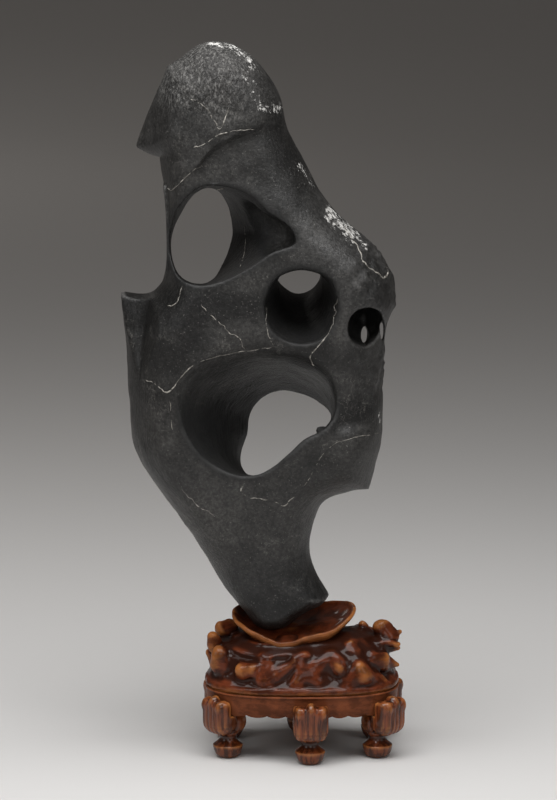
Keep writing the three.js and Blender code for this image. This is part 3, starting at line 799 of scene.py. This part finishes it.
# Paths as (x, height at which the thread shows from the front), and half width
VEINS = [
    ([(-116, 284), (-108, 281), (-100, 275), (-95, 278), (-91, 284), (-79, 296), (-60, 303), (-35, 307),
      (-22, 309)], 0.5),
    ([(-76, 341), (-69, 334), (-58, 324), (-47, 315), (-41, 306)], 0.35),
    ([(-89, 355), (-90, 348), (-93, 342), (-100, 339)], 0.4),
    ([(-26, 340), (-26, 325), (-22, 310)], 0.4),
    ([(25, 345), (24, 332), (20, 321), (12, 310), (7, 304), (6, 300), (8, 294)], 0.5),
    ([(-44, 203), (-45, 199), (-40, 194), (-33, 193), (-24, 191), (-14, 187), (-10, 191), (-4, 196)], 0.55),
    ([(9, 216), (2, 203)], 0.35),
    ([(-98, 268), (-95, 241)], 0.35),
    ([(-90, 203), (-80, 190), (-65, 179)], 0.4),
    ([(-82, 494), (-76, 492), (-70, 486), (-66, 480), (-61, 472), (-57, 478), (-54, 490)], 0.5),
    ([(-100, 430), (-95, 427), (-78, 443), (-67, 444)], 0.4),
    ([(-80, 458), (-70, 462), (-60, 468), (-34, 473)], 0.35),
    ([(-44, 402), (-43, 385), (-46, 370)], 0.3),
    ([(45, 376), (52, 368), (61, 361), (64, 369)], 0.9),
    ([(30, 400), (38, 388), (45, 376)], 0.6),
    ([(-67, 428), (-58, 428)], 0.8),
    ([(9, 216), (14, 226), (24, 235), (40, 240), (57, 243)], 0.3),
]


def front_points(x, level):
    """The first points of the stone met from the front on lines that rise towards the viewer."""
    depths = np.arange(-64, 40, 0.5)
    slope = (EYE_HEIGHT - level) / EYE_DISTANCE
    grid_y = np.repeat(depths[None], len(x), 0)
    grid_z = level[:, None] - slope[:, None] * grid_y
    value = stone_field(np.repeat(x[:, None], len(depths), 1).ravel(), grid_y.ravel(), grid_z.ravel())
    inside = value.reshape(grid_y.shape) > 0
    first = inside.argmax(1)
    rows = np.arange(len(x))
    keep = inside.any(1)
    return np.stack([x, grid_y[rows, first], grid_z[rows, first]], 1)[keep]


def thread_body(path, half_width, sides=6):
    """A thin closed rope along the path, half sunk: rings round the path, wider than they are
    high, drawn in to a point at both ends."""
    normals = unit(-slope_of(stone_field, path, 0.5))
    across = unit(np.cross(np.gradient(path, axis=0), normals))
    x, y, z = path.T
    rise = stone_relief(x, y, z) + 0.1 + 0.35 * swell(x, y, z, 4.5, 11)
    path = path + normals * rise[:, None]
    width = half_width * (0.8 + 0.65 * swell(x, y, z, 3, 7))
    ends = np.minimum(np.arange(len(path)), np.arange(len(path))[::-1])
    width = width * np.clip(ends / 3, 0.02, 1)
    turn = round_angles(sides)
    rings = (path[:, None] + across[:, None] * (width[:, None] * np.cos(turn))[..., None]
             + normals[:, None] * (np.minimum(width, 0.35)[:, None] * np.sin(turn))[..., None])
    return capped_rings(rings)


def make_veins():
    """All the threads as one piece, each wandering a little off its path."""
    all_points, all_faces, count = [], [], 0
    for knots, half_width in VEINS:
        x, level = spline(knots, per_span=16).T
        wander = 0.8 * swell(x, level, 0 * x, 5, 6) + 0.4 * swell(x, level, 0 * x, 2, 8)
        path = front_points(x + wander, level + wander)
        points, faces = thread_body(path, half_width)
        all_points.append(points)
        all_faces.append(faces + count)
        count += len(points)
    points, faces = np.vstack(all_points), np.vstack(all_faces)
    add_piece("calcite_veins", points, faces, vein_mineral())


# ---- The stand ----
def oval_reach(angle, half_x, half_y, power):
    """Distance from the centre to the rim of a rounded oval, at each angle."""
    across = np.abs(np.cos(angle) / half_x) ** power + np.abs(np.sin(angle) / half_y) ** power
    return across ** (-1 / power)


def oval_inside(x, y, half_x, half_y, power):
    """About the distance inside a rounded oval, in plan."""
    angle = np.arctan2(y, x)
    return oval_reach(angle, half_x, half_y, power) - np.hypot(x, y)


# The mound's bulges: start, end, radius at each end, how softly it joins
KNOBS = [
    ((-61, -23, 77), (-61, -22, 71), 7.5, 8.5, 4),  # cheek at the left
    ((-67, -9, 88), (-66, -8, 83), 4, 6, 2.5),
    ((-62, 2, 92), (-54, 6, 93), 5, 6, 4),
    ((-69, -3, 74), (-64, -5, 68), 4, 7, 3),
    ((-44, -41, 70), (-38, -43, 71.5), 5.2, 4.4, 1.5),  # tongue
    ((-30, -38, 80), (-27, -44, 64), 2, 5, 5),
    ((-19.5, -44.5, 67), (-6, -43, 76), 4, 2.4, 1.5),  # slanted finger
    ((3.5, -40, 79), (-4, -45, 62), 1.8, 3.5, 4),
    ((-2, -45, 63), (8, -43.5, 68), 4, 4.6, 2),
    ((11, -44, 64), (13, -42, 75), 3.5, 1.8, 4),
    ((13, -42, 75), (21, -38, 80), 1.8, 3, 4),
    ((27.5, -39, 74.5), (27, -40.5, 71.5), 7, 7.5, 1.5),  # round boss
    ((37, -32, 87), (42, -41, 68), 3, 4, 5),
    ((33, -45, 60), (43, -42, 67), 3.5, 5.5, 3),
    ((43, -42, 67), (58, -33, 60), 5.5, 4, 3),
    ((52, -29, 77), (60, -25, 72.5), 5.5, 5.5, 2),  # right boss
    ((60, -14, 70), (73.5, -9, 66), 8, 1.5, 3.5),
    ((58, -10, 80), (73, -7, 78), 9, 1.8, 3),
    ((61, -5, 94), (62.5, -4, 88), 7.5, 10.5, 2),  # the tall knob
    ((60, -10, 86.5), (74, -6, 92), 4, 1.4, 1.2),
    ((54, -15, 84), (71, -13, 83), 3, 3, 1.2),
    ((47, 9, 92), (48, 9, 84), 4, 8, 3),
    ((44, 27, 84), (50, 24, 80), 6, 8, 4),
    ((-52, 24, 84), (-60, 20, 78), 6, 8, 4),
]
# Hollows cut before the bulges are added: centre, half sizes, softness
DENTS = [
    ((-12, -46, 74), (15, 8, 9), 4),
    ((28, -43, 73), (13, 8, 12), 3),
    ((-51, -37, 74), (6, 7, 9), 4),
    ((-33, -45, 71), (5, 6, 9), 4),
    ((46, -40, 77), (7, 8, 9), 4),
    ((8, -47, 75), (8, 7, 9), 4),
    ((62, -26, 64), (9, 7, 6), 3),
    ((-70, -16, 76), (7, 7, 7), 3),
    ((69, 4, 84), (7, 8, 6), 3),
    ((-46, -14, 94), (10, 10, 7), 4),
]


# The dents have this share of their listed sizes, and are softer by so much
DENT_SHARE, DENT_SOFTER = (1, 0.65, 0.85), 3
# The bulges in front of this line are set back, fatter and softer than listed, and are repeated
# at the back, as the dents in front of the second line are
FRONT_BULGES, FRONT_DENTS = -25, -20
SET_BACK, FATTER, SOFTER = (0, 2.6, 0), 0.6, 3.5
# How far the mound draws in from the oval at each height
MOUND_HEIGHTS = [LEDGE, 57, 58.5, 61, 66, 74, 79, 84, 89, 93]
MOUND_DRAW_IN = [0, 0.3, 2.2, 3.8, 6, 8.8, 10.5, 15, 19, 32]
# How much room the stone's foot has in its socket
SOCKET_ROOM = 0.6


def mound_field(x, y, z):
    """A rounded oval mound that draws in as it rises, dented and set with bulges, over a ledge.
    Low ripples run round its top, and all of it wavers a little above the ledge. The back repeats
    the front, turned by half a turn. The stone's foot is cut out of it."""
    ledge = smooth_min(oval_inside(x, y, HALF_WIDTH, HALF_DEPTH, OVAL_POWER), LEDGE + 3 - z, 2.5)
    socket = -SOCKET_ROOM - stone_field(x, y, z) * 1.2
    bottom = z - LEDGE
    away = ease(z, LEDGE, 62)
    dx, dz = 2.2 * swell(x, y, z, 11, 31) * away, 2.2 * swell(x, y, z, 11, 32) * away
    x, z = x + dx, z + dz
    inset = np.interp(z, MOUND_HEIGHTS, MOUND_DRAW_IN)
    inset = inset + 0.7 * swell(x, y, z, 6, 12)
    inset = inset + 1.1 * np.sin(z / 1.5 + 2 * swell(x, y, 0 * z, 25, 13)) * ease(z, 74, 78)
    value = oval_inside(x, y, HALF_WIDTH - inset, HALF_DEPTH - inset, OVAL_POWER)
    value = smooth_min(value, 92 - z, 8)
    for at, size, soft in DENTS:
        size, soft = np.multiply(size, DENT_SHARE), soft + DENT_SOFTER
        value = smooth_min(value, -ball(x, y, z, at, size), soft)
        if at[1] < FRONT_DENTS:
            value = smooth_min(value, -ball(-x, -y, z, at, size), soft)
    for start, end, *radii, soft in KNOBS:
        if start[1] < FRONT_BULGES:
            start, end = np.add(start, SET_BACK), np.add(end, SET_BACK)
            radii, soft = np.add(radii, FATTER), soft + SOFTER
        value = smooth_max(value, rod(x, y, z, start, end, *radii), soft)
        if start[1] < FRONT_BULGES:
            value = smooth_max(value, rod(-x, -y, z, start, end, *radii), soft)
    value = smooth_max(value, ledge, 2)
    return np.minimum(np.minimum(value, bottom), socket)


MOUND_CELL = 1.1


def make_mound(wood):
    """The mound, less worn on its ledge, with painted shade on its upper slope under the seat."""
    grid = ticks(-80, 80, MOUND_CELL), ticks(-57, 57, MOUND_CELL), ticks(51, 103, MOUND_CELL)
    points, faces = skin_of(mound_field, *grid)
    on_ledge = 1 - 0.55 * (1 - ease(points[:, 2], 57, 61))
    marks = dict(worn=standing_out(points, faces, 10) * on_ledge,
                 # The broad mark is lowered on the upper slope: painted shade under the seat
                 broad_and_shade=standing_out(points, faces, 70) * on_ledge - 1.3 * ease(points[:, 2], 75, 81))
    add_piece("carved_mound", points, faces, wood, "mound", marks)


SEAT_CENTRE, SEAT_HALF, SEAT_POWER = (-6.0, -2.0), (46.0, 31.0), 2.25
# The level to which the lip's waves fade, and the seat's section: share of the lip's reach, drop
SEAT_LEVEL = 97
SEAT_SECTION = [
    (0.3, 22), (0.64, 18), (0.76, 12), (0.9, 7), (0.985, 3.8), (1.02, 1.7), (1.015, 0.1),
    (0.985, -0.5), (0.95, 0.2), (0.91, 1.5), (0.8, 2.9), (0.6, 3.2), (0.3, 2.8), (0.05, 2.6),
]


def lip_height(angle):
    """The lip's height at each angle: high at both ends, higher behind than in front, with one
    fold at the front."""
    from_fold = np.arctan2(np.sin(angle + 1.25), np.cos(angle + 1.25)) / 0.38
    tilt = np.where(np.sin(angle) < 0, 10.5, 6) * np.sin(angle + 0.25 * np.cos(angle) ** 2)
    return 98 + 9.5 * np.cos(angle) ** 2 + tilt + 4.5 * np.exp(-from_fold ** 2)


def grid_faces(rows, columns):
    """Four-sided faces of a grid that closes on itself along its columns."""
    r, c = np.meshgrid(np.arange(rows - 1), np.arange(columns), indexing="ij")
    r, c = r.ravel(), c.ravel()
    n = (c + 1) % columns
    return np.stack([r * columns + c, r * columns + n, (r + 1) * columns + n, (r + 1) * columns + c], 1)


def capped_rings(rings):
    """A closed body of rings of points, given from the bottom up, each end drawn to its centre."""
    rows, columns = rings.shape[:2]
    points = np.vstack([rings.reshape(-1, 3), rings[0].mean(0)[None], rings[-1].mean(0)[None]])
    bottom, top = len(points) - 2, len(points) - 1
    c = np.arange(columns)
    n = (c + 1) % columns
    low = np.stack([n, c, np.full(columns, bottom), np.full(columns, bottom)], 1)
    row = (rows - 1) * columns
    high = np.stack([row + c, row + n, np.full(columns, top), np.full(columns, top)], 1)
    return points, np.vstack([grid_faces(rows, columns), low, high])


def make_seat(wood):
    """A leaf-shaped dish: a profile of shares of the lip's reach and drops below the lip, carried
    round the oval. Towards the middle the lip's waves fade to one level."""
    profile = spline(SEAT_SECTION, per_span=5)
    angle = round_angles(240)
    share, drop = profile[:, :1], profile[:, 1:]
    reach = share * oval_reach(angle, *SEAT_HALF, SEAT_POWER)
    keep = np.clip(share, 0, 1) ** 1.3
    z = SEAT_LEVEL + (lip_height(angle) - SEAT_LEVEL) * keep - drop
    x, y = reach * np.cos(angle), reach * np.sin(angle)
    z = z + 0.8 * swell(x, y, 0 * x, 14, 21) + 0.3 * swell(x, y, 0 * x, 6, 22)
    points, faces = capped_rings(np.stack([SEAT_CENTRE[0] + x, SEAT_CENTRE[1] + y, z], -1))
    marks = dict(worn=standing_out(points, faces, 25) * 1.1 + 0.65, broad_and_shade=0 * points[:, 2])
    add_piece("seat", points, faces, wood, None, marks)


# Directions, from the stand's centre, of the legs that divide the lower edge into bays
BAYS = [-154, -83, -25, 25, 90, 154, 206]


def cloud_edge(angle):
    """The apron's lower edge: a row of shallow clouds in each bay, lower beside the legs."""
    turn = (np.degrees(angle) + 154) % 360 - 154
    bay = np.interp(turn, BAYS, np.arange(len(BAYS)))
    share = bay % 1
    clouds = np.abs(np.sin(math.pi * (5 * share + 0.5))) ** 0.7
    beside_leg = ease(np.abs(share - 0.5), 0.3, 0.42)
    return APRON_BOTTOM - 1.1 - 1.7 * clouds * (1 - beside_leg) - 1.5 * beside_leg


# The apron's section, from its underside round to its top: share of the oval's reach, height (None
# at its cut lower edge), step out from the oval
APRON_SECTION = [
    (0.05, 48, 0), (0.5, 48, -6), (1, 48, -6), (1, 44, -6), (1, None, -6), (1, None, -5.6),
    (1, None, -1.2), (1, 42, -0.5), (1, 46, -0.2), (1, 50, 0), (1, 50.3, 0.1), (1, 50.7, 0.7),
    (1, 51.3, 0.9), (1, 51.9, 0.6), (1, 52.1, -0.4), (1, 52.2, -1.6), (1, 53, -1.7), (0.5, 53, 0),
    (0.05, 53, 0),
]


def make_apron(wood):
    """A low oval box, open underneath: a profile of heights and steps out from the oval, carried
    round it, with a beaded top edge and a lower edge cut in clouds."""
    angle = round_angles(480)
    oval = oval_reach(angle, HALF_WIDTH, HALF_DEPTH, OVAL_POWER)
    edge = cloud_edge(angle)
    rings = []
    for share, height, out in APRON_SECTION:
        reach = share * (oval + out)
        z = edge if height is None else np.full(len(angle), float(height))
        rings.append(np.stack([reach * np.cos(angle), reach * np.sin(angle), z], -1))
    points, faces = capped_rings(np.stack(rings))
    worn = standing_out(points, faces, 2) * ease(points[:, 2], 42, 50)
    marks = dict(worn=worn, broad_and_shade=0 * points[:, 2])
    add_piece("apron_frame", points, faces, wood, "apron", marks)


# Each leg's place, the direction it faces, and how far its block stands out over its foot
LEGS = {
    "leg_front_left": ((-56, -27), -142, 8),
    "leg_front_centre": ((6, -46), -88, 8),
    "leg_front_right": ((57, -27), -38, 10),
    "leg_back_left": ((-56, 27), 142, 8),
    "leg_back_centre": ((0, 46), 90, 8),
    "leg_back_right": ((57, 27), 38, 10),
}


# How far a leg's block draws in at each height, and the half sizes and power of its oval section
BLOCK_HEIGHTS = [18.5, 20, 21.5, 24, 27, 30, 43, 46, 50]
BLOCK_DRAW_IN = [6.5, 3.8, 2.2, 0.8, 0.1, 0, 0, 0.4, 2]
BLOCK_HALF, BLOCK_POWER = (9.3, 13.3), 3.2
FLUTE_PITCH = 4.7
# The radius of its mushroom foot, neck and collar at each height
FOOT_HEIGHTS = [0, 0.8, 3, 6, 8.5, 9.6, 10.3, 12, 13.6, 15.2, 17, 18.4, 19.4, 20.4, 22, 34]
FOOT_RADII = [6.3, 7.8, 9.6, 10.7, 11.3, 11.2, 10.3, 8.3, 6.9, 6.3, 6.7, 7.9, 8.1, 7.2, 8, 8]


def leg_field(out, side, z, lean):
    """A fluted block with three rounded lobes at its top and a smaller one on each side behind,
    over a collar, a short neck and a mushroom foot."""
    draw_in = np.interp(z, BLOCK_HEIGHTS, BLOCK_DRAW_IN)
    flutes = 1.1 * np.abs(np.cos(math.pi * side / FLUTE_PITCH)) ** 0.5 - 0.9
    half_out, half_side = BLOCK_HALF[0] - draw_in, BLOCK_HALF[1] - draw_in
    block = oval_inside(out - lean, side, half_out, half_side, BLOCK_POWER)
    block = block + flutes * ease(out - lean, 0, 5)
    block = smooth_min(block, np.minimum(z - 18.5, 45.5 - z), 2.5)
    for shift, top in ((-8.4, 46.6), (0, 49), (8.4, 46.6)):
        lobe = ball(out, side, z, (lean + 3.4, shift, top - 6), (6.3, 4.5, 6))
        block = smooth_max(block, lobe, 1)
    for shift in (-4.3, 4.3):
        cut = rod(out, side, z, (lean + 9.5, shift, 43), (lean + 6, shift * 0.9, 52), 1.1, 2)
        block = smooth_min(block, -cut, 0.8)
    for shift in (-6, 6):
        block = smooth_max(block, ball(out, side, z, (lean - 12, shift, 28), (8, 5.5, 9)), 2)
    radius = np.interp(z, FOOT_HEIGHTS, FOOT_RADII)
    foot = np.minimum(radius - np.hypot(out, side), np.minimum(z, FOOT_HEIGHTS[-1] - z))
    return smooth_max(block, foot, 0.8)


LEG_CELL = 0.7
# How far a leg clears the apron's face and lower edge
LEG_GAP, EDGE_GAP = 0.4, 3.4


def make_leg(name, wood):
    """A leg, worked out facing along X and turned to face its own way, cut clear of the apron."""
    (fx, fy), facing, lean = LEGS[name]
    turn = math.radians(facing)
    ahead = np.array([math.cos(turn), math.sin(turn)])

    def plan(out, side):
        return fx + out * ahead[0] - side * ahead[1], fy + out * ahead[1] + side * ahead[0]

    def field(out, side, z):
        frame_room = oval_inside(*plan(out, side), HALF_WIDTH + LEG_GAP, HALF_DEPTH + LEG_GAP, OVAL_POWER)
        frame_room = np.minimum(frame_room, z - (APRON_BOTTOM - EDGE_GAP))
        return np.minimum(leg_field(out, side, z, lean), -frame_room)
    grid = ticks(-16, 22, LEG_CELL), ticks(-16, 16, LEG_CELL), ticks(-LEG_CELL, 52, LEG_CELL)
    points, faces = skin_of(field, *grid)
    out, side, z = points.T
    place = np.stack([*plan(out, side), z], 1)
    on_block = ease(z, 20, 24) * (1 - ease(z, 30, 42))
    marks = dict(worn=standing_out(place, faces, 8) + 0.15 * on_block, broad_and_shade=standing_out(place, faces, 60))
    add_piece(name.replace("leg", "carved_leg"), place, faces, wood, name, marks)


# ---- Room ----
def make_room():
    """A pale floor that curves up into a wall far behind: a profile carried across."""
    profile = spline([(-9.0, 0), (2.0, 0), (6.0, 0), (8.2, 0.6), (9.0, 2.6), (9.0, 8.0)], per_span=12)
    across = np.array([-9.0, 9.0])
    y, z = profile.T
    points = np.stack([np.repeat(across[None], len(y), 0), np.repeat(y[:, None], 2, 1),
                       np.repeat(z[:, None], 2, 1)], -1).reshape(-1, 3)
    r = np.arange(len(y) - 1) * 2
    mesh = bpy.data.meshes.new("floor")
    mesh.from_pydata(points.tolist(), [], np.stack([r, r + 1, r + 3, r + 2], 1).tolist())
    mesh.polygons.foreach_set("use_smooth", np.ones(len(mesh.polygons), bool))
    material, tree, shader = new_material("pale floor")
    shader.inputs["Base Color"].default_value = (0.62, 0.61, 0.60, 1)
    shader.inputs["Roughness"].default_value = 0.7
    mesh.materials.append(material)
    floor = bpy.data.objects.new("floor", mesh)
    bpy.context.scene.collection.objects.link(floor)


WHITE, WARM = (1, 1, 1), (1, 0.95, 0.90)
LIGHTS = [
    # name, place and target in metres, width, height, watts, colour
    ("overhead softbox", (-0.03, -0.38, 1.28), (-0.03, -0.28, 0), 1.2, 1.0, 22, WHITE),
    ("front fill", (0.2, -2.4, 1.2), (0, 0, 0.3), 1.0, 1.0, 6.5, WHITE),
    ("right fill", (1.1, -0.8, 0.8), (0.25, 0, 0), 0.6, 0.6, 2, WHITE),
    ("left fill", (-1.1, -0.8, 0.8), (-0.25, 0, 0), 0.6, 0.6, 2.5, WHITE),
    ("left backdrop light", (-0.9, 0.7, 0.95), (-0.5, 2.2, 0), 0.6, 0.6, 1.6, WARM),
    ("rear backdrop light", (-1.8, 4.2, 2.2), (-1.8, 4.21, 0), 1.0, 1.0, 9, WARM),
]


def add_light(name, place, target, width, height, watts, colour):
    """A soft rectangular light at its place, turned to its target."""
    data = bpy.data.lights.new(name, "AREA")
    data.shape = "RECTANGLE"
    data.size = width
    data.size_y = height
    data.energy = watts
    data.color = colour
    light = bpy.data.objects.new(name, data)
    light.location = place
    light.rotation_euler = (Vector(target) - Vector(place)).to_track_quat("-Z", "Y").to_euler()
    bpy.context.scene.collection.objects.link(light)


def make_lights():
    """The studio lights, and a dim warm light from all round."""
    for light in LIGHTS:
        add_light(*light)
    world = bpy.context.scene.world or bpy.data.worlds.new("room")
    bpy.context.scene.world = world
    world.use_nodes = True
    background = world.node_tree.nodes["Background"]
    background.inputs["Color"].default_value = (1, 0.94, 0.89, 1)
    background.inputs["Strength"].default_value = 0.085


def make_camera():
    """A long lens, a little left of the stand's centre, that looks down by ten degrees."""
    data = bpy.data.cameras.new("camera")
    data.sensor_width = 36
    data.sensor_fit = "HORIZONTAL"
    data.lens = 224
    data.clip_end = 50
    camera = bpy.data.objects.new("camera", data)
    camera.location = (STAND_X * MM - 0.01775, -2.5605, 0.72)
    camera.rotation_euler = (math.radians(80), 0, 0)
    bpy.context.scene.collection.objects.link(camera)
    bpy.context.scene.camera = camera


make_stone(black_stone())
make_veins()
mound_wood = polished_wood("mound wood")
make_mound(mound_wood)
make_seat(mound_wood)
make_apron(polished_wood("apron wood"))
leg_wood = polished_wood("leg wood")
for leg in LEGS:
    make_leg(leg, leg_wood)
make_room()
make_lights()
make_camera()
bpy.context.scene.view_settings.view_transform = "Standard"
